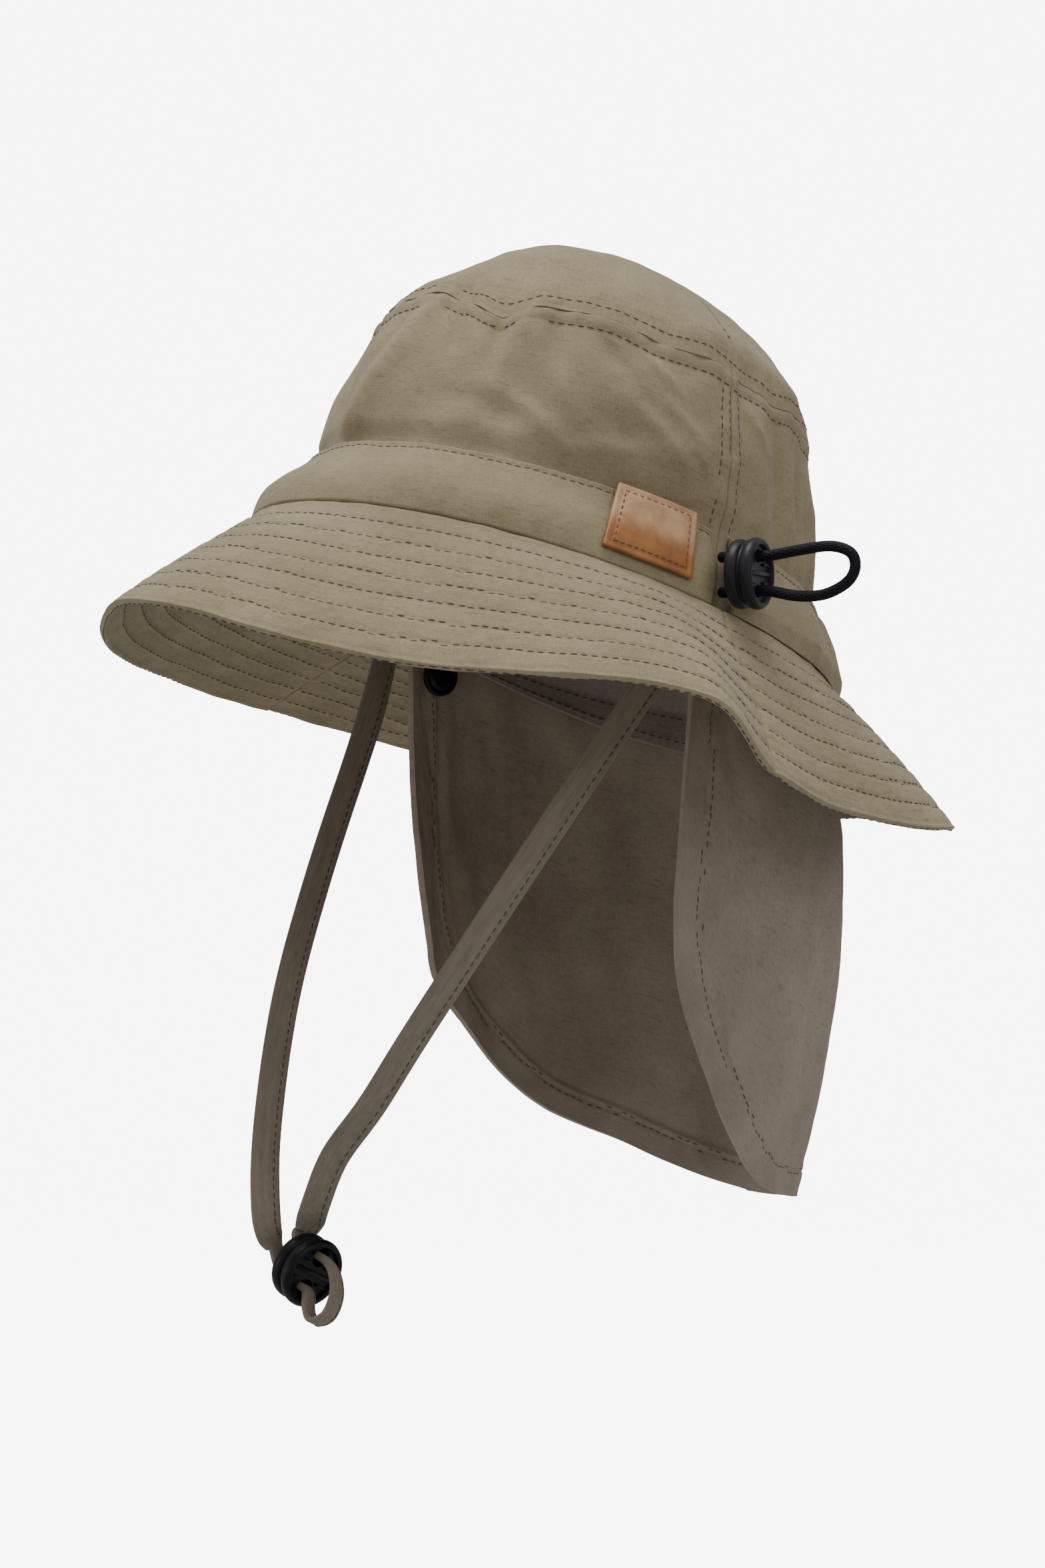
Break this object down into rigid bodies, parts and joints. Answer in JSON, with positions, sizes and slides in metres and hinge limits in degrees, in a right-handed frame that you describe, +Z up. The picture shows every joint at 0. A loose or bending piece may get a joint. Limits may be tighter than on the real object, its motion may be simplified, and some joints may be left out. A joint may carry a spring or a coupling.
{
  "type": "sun hat",
  "caption": "Child's olive cotton bucket sun hat with stitched brim, neck flap, chin strap and elastic drawcord.",
  "frame": {"origin": "centre of the head opening, in the plane of the brim seam, where the hat sits on an upright head", "axes": "+Z straight up the upright head, -Y the way the wearer looks, +X to the wearer's left; the hat is tipped back 18 degrees about X"},
  "size_m": [0.2501, 0.2627, 0.3066],
  "materials": {
    "cotton": "matte woven cotton",
    "inner_cotton": "matte woven cotton",
    "flap_cotton": "matte woven cotton",
    "strap_tape": "matte woven tape",
    "black_plastic": "satin moulded plastic",
    "grey_plastic": "satin moulded plastic",
    "elastic_cord": "braided round elastic",
    "tan_leather": "smooth vegetable-tanned leather"
  },
  "bodies": {
    "root": {"crown_tip": "cotton", "crown_wall_front": "cotton", "crown_wall_back": "cotton", "hat_band_front": "cotton", "hat_band_back": "cotton", "brim_front": "cotton", "brim_back": "cotton", "sweatband": "inner_cotton", "neck_flap": "flap_cotton", "snap_left": "black_plastic", "snap_right": "black_plastic", "chin_strap": "strap_tape", "chin_cord_lock": "black_plastic", "side_cord_lock": "grey_plastic", "drawcord": "elastic_cord", "leather_patch": "tan_leather"}
  },
  "joints": []
}
